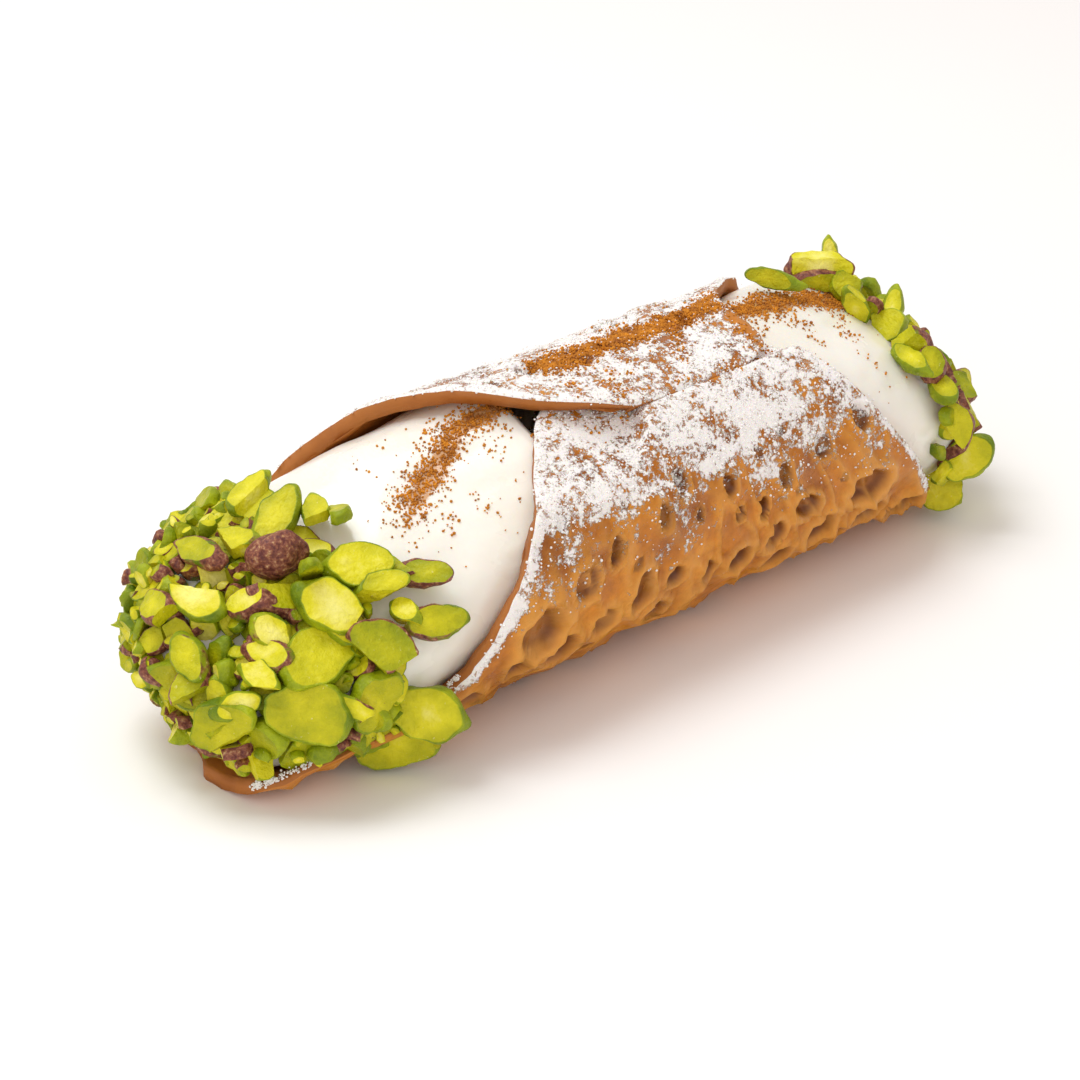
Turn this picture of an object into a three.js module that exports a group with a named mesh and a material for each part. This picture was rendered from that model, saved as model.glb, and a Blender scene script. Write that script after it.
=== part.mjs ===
// A Sicilian cannolo: a diamond of dough rolled corner over corner into a tube and fried,
// filled from end to end with whipped ricotta cream. Both slanting mouths are dipped in
// chopped pistachio. It lies on its side with the lapped seam rolled a little to the front.
//
// Millimetres, +Z up. +X runs along the roll. The origin is at the middle of the base.
// Angles round the roll are in its own turned frame: 0 at the dough's bottom corner,
// positive up the front (-Y) and 180 degrees at the seam.
import * as THREE from "three";

// ---- Driving dimensions -------------------------------------------------------------
const tube = {
  radius: 21.6, // outer radius at the middle of the roll
  lean: -0.014, // the near end is a little wider than the far end
  flare: 0.0002, // both ends open out, by this much per square millimetre
  wall: 2.2,
  roll: THREE.MathUtils.degToRad(22), // how far the seam has turned to the front
  settle: 0.5, // depth of the flat that the roll rests on
};
const dough = {
  seamX: 11.5, // middle of the seam along the roll
  halfWidth: 75, // from the bottom corner to each lapped corner, round the roll
  length: 74.5, // from the middle to the near and far corners
  slope: 0.998, // how fast the sides run in
  bow: 0.0032, // and how hollow they are
  cornerRound: 3,
  tongue: { length: 77, halfWidth: 27.5, power: 6 }, // the near corner's front half is broad
  blunt: { front: 24, backNear: 12, backFar: 40 }, // how square the lapped corners are cut
  lastShare: 0.985, // they end in a short blunt edge
};
const lap = {
  gap: 0.4, // between the two layers
  dipFrom: 51, // where the lower layer starts to dip, round the roll
  dipTo: 62,
  lipLift: 1.3, // the upper layer's corner stands off by this much
  lipX: -14, // middle of the lifted lip, from the middle of the seam
  lipReach: 9,
  lipFrom: 64,
};
const fill = {
  clearance: 0.4, // between the cream and the wall
  crown: 17.5, // top of the cream at the mouths, above the axis
  lappedCrown: 15.1, // and under the two layers of dough
  lapFrom: 33, // where it starts to drop, from the middle of the seam
  lapTo: 27.5,
  squareness: 2.8,
  near: { start: -10, tip: -67, tipHeight: -8, fall: 0.9, ease: 0.55 },
  far: { start: 33, tip: 79, tipHeight: -12, fall: 1.7, ease: 0.4 },
  nose: 8, // how late the sides and the underside close in
};
const coat = {
  thickness: 2.2,
  bumps: 0.6,
  nearEdge: -36, // where the nuts start on the open face
  farEdge: 61,
  edgeWave: 1.6,
  gap: 0.8, // between the nuts and the cream
  margin: 0.26, // kept clear of the dough's edge, in radians
  lastShare: 0.97,
  lastTurn: 2.7, // how far round it reaches at the tip
  lastFrontTurn: 1.9, // and on the side of the dough's broad corner
  rimClearance: 2,
  sliceGap: 0.3,
  rows: 22,
  columns: 12,
};
const base = { x: -8.42, y: -0.344 }; // moves the middle of the base to the origin
const grid = { round: 54, along: 16, creamRound: 32, creamEnd: 12, creamMiddle: 10 };

// ---- Small helpers ------------------------------------------------------------------
const { clamp, smoothstep, lerp } = THREE.MathUtils;
const bell = (t) => Math.exp(-t * t);
const signedPower = (t, power) => Math.sign(t) * Math.abs(t) ** power;

function radiusAt(x) {
  return tube.radius + tube.lean * x + tube.flare * x * x;
}

// A point given across (towards the back) and up (towards the seam) in the roll's turned frame.
function place(x, across, up) {
  const c = Math.cos(tube.roll);
  const s = Math.sin(tube.roll);
  const height = radiusAt(x) - tube.settle + across * s + up * c;
  return new THREE.Vector3(x + base.x, across * c - up * s + base.y, Math.max(height, 0));
}

// A closed geometry from rows of points, each row a closed ring, with a pole at both ends.
function ringSolid(rings, firstPole, lastPole) {
  const count = rings[0].length;
  const points = [...rings.flat(), firstPole, lastPole];
  const first = points.length - 2;
  const last = points.length - 1;
  const faces = [];
  for (let j = 0; j < count; j++) {
    const k = (j + 1) % count;
    faces.push(first, k, j);
    for (let i = 0; i < rings.length - 1; i++) {
      const [a, b] = [i * count + j, i * count + k];
      const [c, d] = [b + count, a + count];
      faces.push(a, b, c, a, c, d);
    }
    const row = (rings.length - 1) * count;
    faces.push(row + j, row + k, last);
  }
  return geometryOf(points, faces);
}

// A closed sheet between an outer and an inner surface, both asked for by row and column.
function sheetSolid(outerAt, innerAt, rows, columns) {
  const points = [];
  for (const surface of [outerAt, innerAt])
    for (let i = 0; i <= rows; i++)
      for (let j = 0; j <= columns; j++) points.push(surface(i, j));
  const outer = (i, j) => i * (columns + 1) + j;
  const inner = (i, j) => (rows + 1) * (columns + 1) + outer(i, j);
  const faces = [];
  const quad = (a, b, c, d) => faces.push(a, c, b, a, d, c);
  for (let i = 0; i < rows; i++)
    for (let j = 0; j < columns; j++) {
      quad(outer(i, j), outer(i + 1, j), outer(i + 1, j + 1), outer(i, j + 1));
      quad(inner(i, j), inner(i, j + 1), inner(i + 1, j + 1), inner(i + 1, j));
    }
  for (let i = 0; i < rows; i++) {
    const j = columns;
    quad(outer(i, 0), inner(i, 0), inner(i + 1, 0), outer(i + 1, 0));
    quad(outer(i, j), outer(i + 1, j), inner(i + 1, j), inner(i, j));
  }
  for (let j = 0; j < columns; j++) {
    const i = rows;
    quad(outer(0, j), outer(0, j + 1), inner(0, j + 1), inner(0, j));
    quad(outer(i, j), inner(i, j), inner(i, j + 1), outer(i, j + 1));
  }
  return geometryOf(points, faces);
}

function geometryOf(points, faces) {
  const geometry = new THREE.BufferGeometry().setFromPoints(points);
  geometry.setIndex(faces);
  return geometry;
}

// ---- The fried shell ----------------------------------------------------------------
// Half length of the dough at s round the roll, towards the near (-1) or far (+1) end.
function doughLength(s, side) {
  const run = Math.hypot(s, dough.cornerRound) - dough.cornerRound;
  const plain = dough.length - dough.slope * run + dough.bow * run * run;
  const { tongue, blunt } = dough;
  const broad = side < 0 && s > 0 && s < tongue.halfWidth;
  const narrowing = broad ? 1 - (s / tongue.halfWidth) ** tongue.power : 0;
  const tip = tongue.length * narrowing ** (1 / tongue.power);
  const power = s > 0 ? blunt.front : side < 0 ? blunt.backNear : blunt.backFar;
  const cut = 1 - (Math.abs(s) / dough.halfWidth) ** power;
  return Math.max(plain, tip) * Math.sqrt(Math.max(cut, 0));
}

// Bubbles and waves of the fried surface, kept off the lapped layers and the resting side.
function blisterRelief(x, s) {
  const waves = Math.sin(0.52 * s + 1.4 * Math.sin(0.13 * x)) * Math.cos(0.37 * x + 0.21 * s);
  const pits = Math.sin(0.83 * s + 0.4 * x) * Math.sin(0.61 * x - 0.3 * s + 1.7);
  const quiet = 1 - smoothstep(Math.abs(s), lap.dipFrom - 4, lap.dipFrom + 2);
  const resting = smoothstep(Math.abs(s - tube.roll * tube.radius), 5, 13);
  return quiet * resting * (0.45 * waves + 0.3 * pits);
}

// How far the lower (front) layer dips and the upper (back) layer's lip stands off.
function layerOffset(x, s) {
  if (s > 0) return -smoothstep(s, lap.dipFrom, lap.dipTo) * (tube.wall + lap.gap);
  const along = bell((x - dough.seamX - lap.lipX) / lap.lipReach);
  return lap.lipLift * along * smoothstep(-s, lap.lipFrom, dough.halfWidth);
}

function doughPoint(u, v, depth) {
  const s = u * dough.halfWidth;
  const near = doughLength(s, -1);
  const far = doughLength(s, 1);
  const x = dough.seamX + lerp(-near, far, v);
  const edge = Math.min(v, 1 - v) * (near + far);
  const relief = depth > 0 ? 0 : blisterRelief(x, s) * smoothstep(edge, 0, 6);
  const r = radiusAt(x) - depth + relief + layerOffset(x, s);
  const angle = s / tube.radius;
  return place(x, -r * Math.sin(angle), -r * Math.cos(angle));
}

function shellGeometry() {
  const at = (depth) => (i, j) => {
    const u = Math.sin((i / grid.round - 0.5) * 2.6) / Math.sin(1.3);
    return doughPoint(u * dough.lastShare, j / grid.along, depth);
  };
  return sheetSolid(at(0), at(tube.wall), grid.round, grid.along);
}

// ---- The cream filling, and the pistachio coats that follow it -----------------------
// Top, underside and half width of the cream's section at x, with everything grown by `grow`.
function creamSection(x, grow) {
  const inside = radiusAt(x) - tube.wall - fill.clearance;
  const end = x < fill.near.start ? fill.near : x > fill.far.start ? fill.far : null;
  const open = smoothstep(Math.abs(x - dough.seamX), fill.lapTo, fill.lapFrom);
  const crown = lerp(fill.lappedCrown, fill.crown, open);
  if (!end) return { top: crown, under: -inside, half: inside, inside };
  const tip = end.tip + Math.sign(end.tip) * grow;
  const q = clamp((x - end.start) / (tip - end.start), 0, 1);
  const rise = (1 - q ** end.fall) ** end.ease;
  const close = Math.sqrt(1 - q ** fill.nose);
  return {
    top: end.tipHeight + (crown - end.tipHeight + grow) * rise,
    under: end.tipHeight - (inside + end.tipHeight) * close,
    half: (inside + grow) * (1 - q ** fill.nose) ** (1 / 2.2),
    inside,
  };
}

// The cream's outline at x and turn (0 up at the seam, positive to the front), in the roll's frame.
function creamOutline(x, turn, grow) {
  const { top, under, half, inside } = creamSection(x, grow);
  const power = 2 / fill.squareness;
  const across = -half * signedPower(Math.sin(turn), power);
  const up = (top + under) / 2 + ((top - under) / 2) * signedPower(Math.cos(turn), power);
  const shrink = Math.min(1, (inside + grow) / Math.hypot(across, up));
  return [across * shrink, up * shrink];
}

function creamPoint(x, turn, grow = 0) {
  return place(x, ...creamOutline(x, turn, grow));
}

function creamRing(x) {
  const count = grid.creamRound;
  return Array.from({ length: count }, (_, k) => creamPoint(x, (k / count) * 2 * Math.PI));
}

// Stations that crowd together towards a mouth's tip.
function endStations(end, tip, count) {
  return Array.from({ length: count }, (_, i) => {
    const share = Math.sin((Math.PI / 2) * ((i + 0.5) / count));
    return end.start + (tip - end.start) * share;
  });
}

function creamGeometry() {
  const { near, far } = fill;
  const middle = Array.from({ length: grid.creamMiddle }, (_, i) =>
    lerp(near.start, far.start, i / (grid.creamMiddle - 1)),
  );
  const stations = [
    ...endStations(near, near.tip, grid.creamEnd).reverse(),
    ...middle,
    ...endStations(far, far.tip, grid.creamEnd),
  ];
  const rings = stations.map(creamRing);
  const pole = (end) => place(end.tip, 0, end.tipHeight);
  return ringSolid(rings, pole(near), pole(far));
}

function coatBump(x, turn) {
  return Math.sin(5 * turn + 0.31 * x) * Math.cos(0.47 * x - 2 * turn);
}

// How far the open face reaches to either side of the seam at x, as a turn, less a margin.
function openTurn(x, end, grow, front) {
  const side = Math.sign(end.tip);
  const last = front ? coat.lastFrontTurn : coat.lastTurn;
  let s = 0;
  while (s < 65 && doughLength(front ? s : -s, side) > Math.abs(x - dough.seamX)) s += 0.2;
  const limit = Math.PI - s / tube.radius - coat.margin;
  const reach = radiusAt(x) - tube.wall - coat.rimClearance;
  const meetsDough = ([across, up]) =>
    Math.hypot(across, up) > reach && Math.atan2(-across, up) > limit;
  let turn = 0;
  while (turn < last && !meetsDough(creamOutline(x, turn, grow))) turn += 0.01;
  return turn;
}

// The chopped nuts as one layer out to their uneven outline, laid over one open face.
function coatGeometry(end, edge) {
  const { rows, columns } = coat;
  const at = (inner) => (i, j) => {
    const side = (i / rows - 0.5) * 2 * (end.tip < 0 ? 1 : -1);
    const share = Math.sin((Math.PI / 2) * (j / columns) * coat.lastShare);
    const wave = coat.edgeWave * Math.sin(9 * side) * (1 - share);
    const depth = inner ? coat.gap : coat.thickness;
    const x = lerp(edge + wave, end.tip + Math.sign(end.tip) * depth, share);
    const turn = side * openTurn(x, end, coat.thickness, side > 0);
    return creamPoint(x, turn, inner ? coat.gap : coatHeight(x, turn));
  };
  return sheetSolid(at(false), at(true), rows, columns);
}

// ---- The larger pistachio slices ------------------------------------------------------
// Each lies on a coat at x and turn (degrees from the seam, positive to the front), spun
// round its own upright. Sizes are length, width and thickness.
const slices = [
  { name: "whole_kernel", x: -51, turn: -2, spin: 15, size: [9, 6, 5], skin: true },
  { name: "slice_crest", x: -45, turn: -34, spin: 20, size: [9, 5, 2] },
  { name: "slice_upper_left", x: -61, turn: -12, spin: 80, size: [9, 6, 2] },
  { name: "slice_pale", x: -42, turn: 14, spin: 35, size: [9, 6.5, 2.2] },
  { name: "slice_oval", x: -52, turn: 26, spin: 70, size: [9, 6.5, 2.2] },
  { name: "slice_dark", x: -42, turn: 42, spin: 40, size: [9.5, 7, 2.4] },
  { name: "slice_flat", x: -59, turn: 44, spin: 60, size: [10, 7, 2.2] },
  { name: "slice_olive", x: -49, turn: 60, spin: 20, size: [8.5, 6.5, 2.2] },
  { name: "slice_rim", x: -42, turn: 86, spin: 10, size: [11.5, 7.5, 2.2] },
  { name: "slice_far_low", x: 68, turn: 80, spin: 60, size: [8, 6, 2] },
  { name: "slice_far_crest", x: 65, turn: -24, spin: 50, size: [9, 6, 2.4] },
];

// How far the coat's surface stands over the cream.
function coatHeight(x, turn) {
  return coat.thickness + coat.bumps * (1 + coatBump(x, turn));
}

// A lens of kernel, laid with its underside just clear of the coat.
function sliceGeometry({ x, turn, spin, size }) {
  const [length, width, thickness] = size;
  const side = THREE.MathUtils.degToRad(turn);
  const grow = coatHeight(x, side);
  const along = creamPoint(x + 1, side, grow).sub(creamPoint(x - 1, side, grow)).normalize();
  const round = creamPoint(x, side + 0.05, grow).sub(creamPoint(x, side - 0.05, grow));
  const normal = new THREE.Vector3().crossVectors(round, along).normalize();
  const across = new THREE.Vector3().crossVectors(normal, along);
  const at = creamPoint(x, side, grow).addScaledVector(normal, coat.sliceGap + thickness / 2);
  const seat = new THREE.Matrix4().makeBasis(along, across, normal).setPosition(at);
  const lens = new THREE.SphereGeometry(0.5, 9, 5).rotateX(Math.PI / 2);
  lens.scale(length, width, thickness);
  lens.rotateZ(THREE.MathUtils.degToRad(spin));
  return lens.applyMatrix4(seat);
}

// ---- Assembly -------------------------------------------------------------------------
const materials = {
  pastry: new THREE.MeshStandardMaterial({ color: 0xb9702c, roughness: 0.6 }),
  cream: new THREE.MeshStandardMaterial({ color: 0xf6f0e2, roughness: 0.35 }),
  nut: new THREE.MeshStandardMaterial({ color: 0x9db33a, roughness: 0.6 }),
  skin: new THREE.MeshStandardMaterial({ color: 0x6b3a34, roughness: 0.7 }),
};

const cannolo = new THREE.Group();

function add(name, geometry, material) {
  const mesh = new THREE.Mesh(geometry, material.clone());
  mesh.name = name;
  cannolo.add(mesh);
}

add("fried_shell", shellGeometry(), materials.pastry);
add("ricotta_cream", creamGeometry(), materials.cream);
add("pistachio_coat_near", coatGeometry(fill.near, coat.nearEdge), materials.nut);
add("pistachio_coat_far", coatGeometry(fill.far, coat.farEdge), materials.nut);

for (const slice of slices)
  add(`pistachio_${slice.name}`, sliceGeometry(slice), slice.skin ? materials.skin : materials.nut);

export default cannolo;
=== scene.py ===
# A filled cannolo lying on its side: a fried tube of dough, ricotta cream,
# chopped pistachio on both mouths, icing sugar and cinnamon.
import bpy
import bmesh
import math
import random
from mathutils import Matrix, Vector, noise


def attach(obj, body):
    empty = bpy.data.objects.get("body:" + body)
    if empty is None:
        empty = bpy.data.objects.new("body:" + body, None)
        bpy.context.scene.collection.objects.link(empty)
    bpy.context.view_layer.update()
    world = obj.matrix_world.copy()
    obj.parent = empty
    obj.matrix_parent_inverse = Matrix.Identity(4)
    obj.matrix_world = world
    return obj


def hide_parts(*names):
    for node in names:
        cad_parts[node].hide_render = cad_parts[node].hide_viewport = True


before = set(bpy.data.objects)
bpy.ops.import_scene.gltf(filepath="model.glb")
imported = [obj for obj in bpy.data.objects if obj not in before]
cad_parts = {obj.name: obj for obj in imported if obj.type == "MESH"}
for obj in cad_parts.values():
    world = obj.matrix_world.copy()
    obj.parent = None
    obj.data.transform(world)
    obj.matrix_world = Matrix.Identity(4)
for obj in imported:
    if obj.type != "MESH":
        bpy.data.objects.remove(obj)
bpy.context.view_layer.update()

mm = 0.001
dice = random.Random(31)

# the roll's own measures, in millimetres, the same as the solid model's
roll = {
    "radius": 21.6, "lean": -0.014, "flare": 0.0002, "wall": 2.2,
    "turn": math.radians(22), "settle": 0.5, "baseX": -8.42, "baseY": -0.344, "seamX": 11.5,
}


def smoothStep(value, low, high):
    t = min(max((value - low) / (high - low), 0.0), 1.0)
    return t * t * (3 - 2 * t)


def mix(a, b, t):
    return a + (b - a) * t


def radiusAt(x):
    return roll["radius"] + roll["lean"] * x + roll["flare"] * x * x


def place(x, across, up):
    # from the roll's turned frame to the object's frame, in metres
    c, s = math.cos(roll["turn"]), math.sin(roll["turn"])
    height = max(radiusAt(x) - roll["settle"] + across * s + up * c, 0.0)
    return Vector((x + roll["baseX"], across * c - up * s + roll["baseY"], height)) * mm


def wobble(x, y, z, size, seed=0.0):
    return noise.noise(Vector((x / size + seed, y / size - seed, z / size + 0.37 * seed)))


def finishPiece(bm, name, material, smooth=True):
    # closes a bmesh into an object that rides on the pastry
    mesh = bpy.data.meshes.new(name)
    bm.to_mesh(mesh)
    bm.free()
    mesh.materials.append(material)
    mesh.polygons.foreach_set("use_smooth", [smooth] * len(mesh.polygons))
    piece = bpy.data.objects.new(name, mesh)
    bpy.context.collection.objects.link(piece)
    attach(piece, "root")
    return piece


# ---- shader helpers ----
def newMaterial(name):
    material = bpy.data.materials.new(name)
    material.use_nodes = True
    tree = material.node_tree
    return material, tree, tree.nodes["Principled BSDF"]


def addNode(tree, kind, **values):
    node = tree.nodes.new(kind)
    for key, value in values.items():
        setattr(node, key, value)
    return node


def noiseNode(tree, coords, scale, detail=4.0, roughness=0.55):
    node = addNode(tree, "ShaderNodeTexNoise")
    node.inputs["Scale"].default_value = scale
    node.inputs["Detail"].default_value = detail
    node.inputs["Roughness"].default_value = roughness
    tree.links.new(coords, node.inputs["Vector"])
    return node.outputs["Fac"]


def attributeNode(tree, name):
    return addNode(tree, "ShaderNodeAttribute", attribute_name=name).outputs["Fac"]


def ramp(tree, source, stops, ease="LINEAR"):
    node = addNode(tree, "ShaderNodeValToRGB")
    node.color_ramp.interpolation = ease
    elements = node.color_ramp.elements
    while len(elements) < len(stops):
        elements.new(0.5)
    for element, (position, colour) in zip(elements, stops):
        element.position = position
        element.color = (*colour, 1) if len(colour) == 3 else colour
    tree.links.new(source, node.inputs["Fac"])
    return node.outputs["Color"]


def maths(tree, operation, a, b=None, clamp=False):
    node = addNode(tree, "ShaderNodeMath", operation=operation, use_clamp=clamp)
    for socket, value in zip(node.inputs, (a, b)):
        if value is None:
            continue
        if isinstance(value, (int, float)):
            socket.default_value = value
        else:
            tree.links.new(value, socket)
    return node.outputs["Value"]


def mapRange(tree, value, low, high, toLow=0.0, toHigh=1.0):
    node = addNode(tree, "ShaderNodeMapRange", interpolation_type="SMOOTHSTEP")
    for name, number in zip(("From Min", "From Max", "To Min", "To Max"), (low, high, toLow, toHigh)):
        node.inputs[name].default_value = number
    tree.links.new(value, node.inputs["Value"])
    return node.outputs["Result"]


def mixColour(tree, factor, a, b, mode="MIX"):
    node = addNode(tree, "ShaderNodeMix", data_type="RGBA", blend_type=mode)
    for socket, value in ((node.inputs["Factor"], factor), (node.inputs["A"], a), (node.inputs["B"], b)):
        if isinstance(value, (int, float)):
            socket.default_value = value
        elif isinstance(value, tuple):
            socket.default_value = (*value, 1)
        else:
            tree.links.new(value, socket)
    return node.outputs["Result"]


def bump(tree, height, strength, distance, normal=None):
    node = addNode(tree, "ShaderNodeBump")
    node.inputs["Strength"].default_value = strength
    node.inputs["Distance"].default_value = distance
    tree.links.new(height, node.inputs["Height"])
    if normal is not None:
        tree.links.new(normal, node.inputs["Normal"])
    return node.outputs["Normal"]


def objectCoords(tree):
    return addNode(tree, "ShaderNodeTexCoord").outputs["Object"]


# a shared patchy tone: slow patches and fine specks, used by dough, cream and nuts
def makeMottleGroup():
    group = bpy.data.node_groups.new("mottle", "ShaderNodeTree")
    face = group.interface
    face.new_socket("Vector", in_out="INPUT", socket_type="NodeSocketVector")
    face.new_socket("Patch Scale", in_out="INPUT", socket_type="NodeSocketFloat")
    face.new_socket("Speck Scale", in_out="INPUT", socket_type="NodeSocketFloat")
    face.new_socket("Patch", in_out="OUTPUT", socket_type="NodeSocketFloat")
    face.new_socket("Speck", in_out="OUTPUT", socket_type="NodeSocketFloat")
    source = group.nodes.new("NodeGroupInput")
    result = group.nodes.new("NodeGroupOutput")
    for scaleName, outName, detail in (("Patch Scale", "Patch", 5.0), ("Speck Scale", "Speck", 3.0)):
        node = group.nodes.new("ShaderNodeTexNoise")
        node.inputs["Detail"].default_value = detail
        node.inputs["Roughness"].default_value = 0.6
        group.links.new(source.outputs["Vector"], node.inputs["Vector"])
        group.links.new(source.outputs[scaleName], node.inputs["Scale"])
        group.links.new(node.outputs["Fac"], result.inputs[outName])
    return group


mottleGroup = makeMottleGroup()


def mottle(tree, coords, patchScale, speckScale):
    node = addNode(tree, "ShaderNodeGroup", node_tree=mottleGroup)
    node.inputs["Patch Scale"].default_value = patchScale
    node.inputs["Speck Scale"].default_value = speckScale
    tree.links.new(coords, node.inputs["Vector"])
    return node.outputs["Patch"], node.outputs["Speck"]


# ---- camera, light and floor ----
view = {
    "eye": (-307.12, -328.44, 250.0), "target": (-11.70, -0.344, 15.23), "lens": 113.9,
    "keyFrom": (-120, 190, 620), "keySize": 0.34, "keyPower": 2.35, "keyColour": (0.93, 0.98, 1.0),
    "fillFrom": (-420, -380, 260), "fillSize": 0.6, "fillPower": 0.7, "fillColour": (1.0, 0.97, 0.94),
    "sky": 0.73, "skyColour": (1.0, 0.93, 0.9),
}


def makeStage():
    camera = bpy.data.cameras.new("camera")
    camera.lens = view["lens"]
    camera.sensor_width = 36
    camera.clip_start = 0.01
    cameraObject = bpy.data.objects.new("camera", camera)
    bpy.context.collection.objects.link(cameraObject)
    eye, target = Vector(view["eye"]) * mm, Vector(view["target"]) * mm
    cameraObject.location = eye
    cameraObject.rotation_euler = (target - eye).to_track_quat("-Z", "Y").to_euler()
    bpy.context.scene.camera = cameraObject

    for name in ("key", "fill"):
        light = bpy.data.lights.new(name, "AREA")
        light.energy = view[name + "Power"]
        light.size = view[name + "Size"]
        light.color = view[name + "Colour"]
        lamp = bpy.data.objects.new(name, light)
        bpy.context.collection.objects.link(lamp)
        lamp.location = Vector(view[name + "From"]) * mm
        lamp.rotation_euler = (Vector((0, 0, 0.02)) - lamp.location).to_track_quat("-Z", "Y").to_euler()

    world = bpy.data.worlds.new("softbox")
    world.use_nodes = True
    sky = world.node_tree.nodes["Background"]
    sky.inputs["Color"].default_value = (*view["skyColour"], 1)
    sky.inputs["Strength"].default_value = view["sky"]
    bpy.context.scene.world = world

    bm = bmesh.new()
    bmesh.ops.create_grid(bm, x_segments=2, y_segments=2, size=3.0)
    mesh = bpy.data.meshes.new("floor")
    bm.to_mesh(mesh)
    bm.free()
    material, tree, shader = newMaterial("floorPaint")
    shader.inputs["Roughness"].default_value = 0.9
    shader.inputs["Specular IOR Level"].default_value = 0.1
    tone = noiseNode(tree, objectCoords(tree), 3.0)
    tree.links.new(ramp(tree, tone, [(0, (0.93, 0.915, 0.9)), (1, (0.95, 0.935, 0.92))]),
                   shader.inputs["Base Color"])
    mesh.materials.append(material)
    floor = bpy.data.objects.new("floor", mesh)
    bpy.context.collection.objects.link(floor)
    bpy.context.scene.view_settings.view_transform = "Standard"


makeStage()
print("stage ready")

# ---- the fried dough ----
dough = {
    "length": 74.5, "slope": 0.998, "bow": 0.0032, "cornerRound": 3.0,
    "tongueLength": 77.0, "tongueHalf": 27.5,  # the near corner is broad
    "frontHalf": 75.0, "backHalf": 73.5,
    "frontBlunt": 24, "backNearBlunt": 12, "backFarBlunt": 40,
    "dipFrom": 53.0, "dipTo": 61.0, "layerGap": 0.25,
    "lipLift": 1.5, "lipX": -14.0, "lipReach": 8.0,
    "roundCells": 236, "alongCells": 190, "lastShare": 0.987,
    "smallBlisters": 330,
}

# larger bubbles: x along the roll, degrees up from the table, half sizes along and
# round in millimetres, depth, and how high the rim stands
namedBlisters = [
    (-8.9, 131, 3.7, 4.6, 0.8, 0.75), (-8.3, 97, 1.3, 2.5, 1.1, 0.35), (5.5, 113, 1.5, 2.7, 1.0, 0.35),
    (1.1, 103, 1.4, 2.2, 1.0, 0.35), (8.1, 97, 0.9, 1.2, 0.8, 0.3), (16.4, 90, 0.9, 1.3, 0.8, 0.3),
    (21.5, 88, 1.3, 2.1, 1.0, 0.35), (25.7, 99, 1.5, 2.4, 1.0, 0.35), (-2.9, 74, 2.2, 4.0, 1.3, 0.5),
    (4.0, 74, 1.7, 1.9, 1.0, 0.4), (11.3, 68, 1.8, 2.1, 1.1, 0.4), (-9.5, 67, 2.1, 2.5, 1.0, 0.5),
    (-14.4, 89, 2.6, 3.0, 0.7, 0.4), (-22.4, 76, 4.0, 4.4, 1.2, 0.6), (-17.0, 60, 3.0, 3.4, 1.0, 0.5),
    (-25.5, 61, 2.2, 3.0, 1.0, 0.4), (18.0, 66, 2.4, 3.0, 1.1, 0.5), (25.0, 72, 2.0, 2.6, 0.9, 0.4),
    (31.0, 80, 2.6, 2.2, 0.9, 0.5), (44.3, 77, 4.5, 3.2, 0.9, 0.5), (57.0, 50, 4.0, 3.0, 0.5, 0.7),
    (36.0, 62, 3.0, 3.6, 1.2, 0.5), (47.0, 58, 3.2, 3.0, 1.0, 0.5), (2.0, 56, 2.8, 3.2, 1.0, 0.5),
    (-33.0, 52, 2.6, 2.4, 0.9, 0.4), (-41.0, 45, 2.6, 2.2, 0.9, 0.4), (10.0, 52, 2.6, 3.0, 1.0, 0.5),
    (28.0, 54, 2.8, 3.0, 1.0, 0.5), (14.5, 104, 1.6, 1.9, 0.7, 0.3), (34.0, 104, 2.0, 2.2, 0.7, 0.3),
]


def blisterField():
    # named bubbles plus seeded small ones, kept in buckets along the roll
    found = []
    for x, degrees, halfX, halfRound, depth, rim in namedBlisters:
        s = math.radians(degrees + 22) * roll["radius"]
        found.append((x, s, halfX, halfRound, depth, rim, dice.uniform(-0.5, 0.5)))
    for _ in range(dough["smallBlisters"]):
        x, s = dice.uniform(-62, 84), dice.uniform(-68, 62)
        upright = abs(s) / 68
        size = dice.uniform(0.7, 2.6) * (1.15 - 0.45 * upright)
        stretch = dice.uniform(0.9, 1.6)
        if any(abs(x - o[0]) < o[2] + size and abs(s - o[1]) < o[3] + size * stretch for o in found):
            continue
        depth = size * dice.uniform(0.25, 0.5)
        found.append((x, s, size, size * stretch, depth, depth * 0.4, dice.uniform(-0.9, 0.9)))
    buckets = {}
    for item in found:
        for cell in range(int((item[0] - 8) // 6), int((item[0] + 8) // 6) + 1):
            buckets.setdefault(cell, []).append(item)
    return buckets


blisters = blisterField()


def blisterAt(x, s):
    # height of the bubbles here, and how far inside a bubble or on its rim this is
    height, inside, rimShare = 0.0, 0.0, 0.0
    warp = 0.35 * wobble(x, s, 0, 1.6, 5)
    for bx, bs, halfX, halfRound, depth, rim, lean in blisters.get(int(x // 6), ()):
        dx, ds = x - bx, s - bs
        if abs(dx) > 2.4 * halfX or abs(ds) > 2.4 * halfRound:
            continue
        dx += lean * ds * 0.35
        rho = math.hypot(dx / halfX, ds / halfRound) * (1 + 0.5 * warp)
        hole = 1 - smoothStep(rho, 0.45, 1.0)
        ring = math.exp(-((rho - 1.12) / 0.26) ** 2)
        height += 1.6 * rim * ring - 1.45 * depth * hole
        inside = max(inside, hole)
        rimShare = max(rimShare, ring * min(rim / 0.45, 1))
    return height, inside, rimShare


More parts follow.
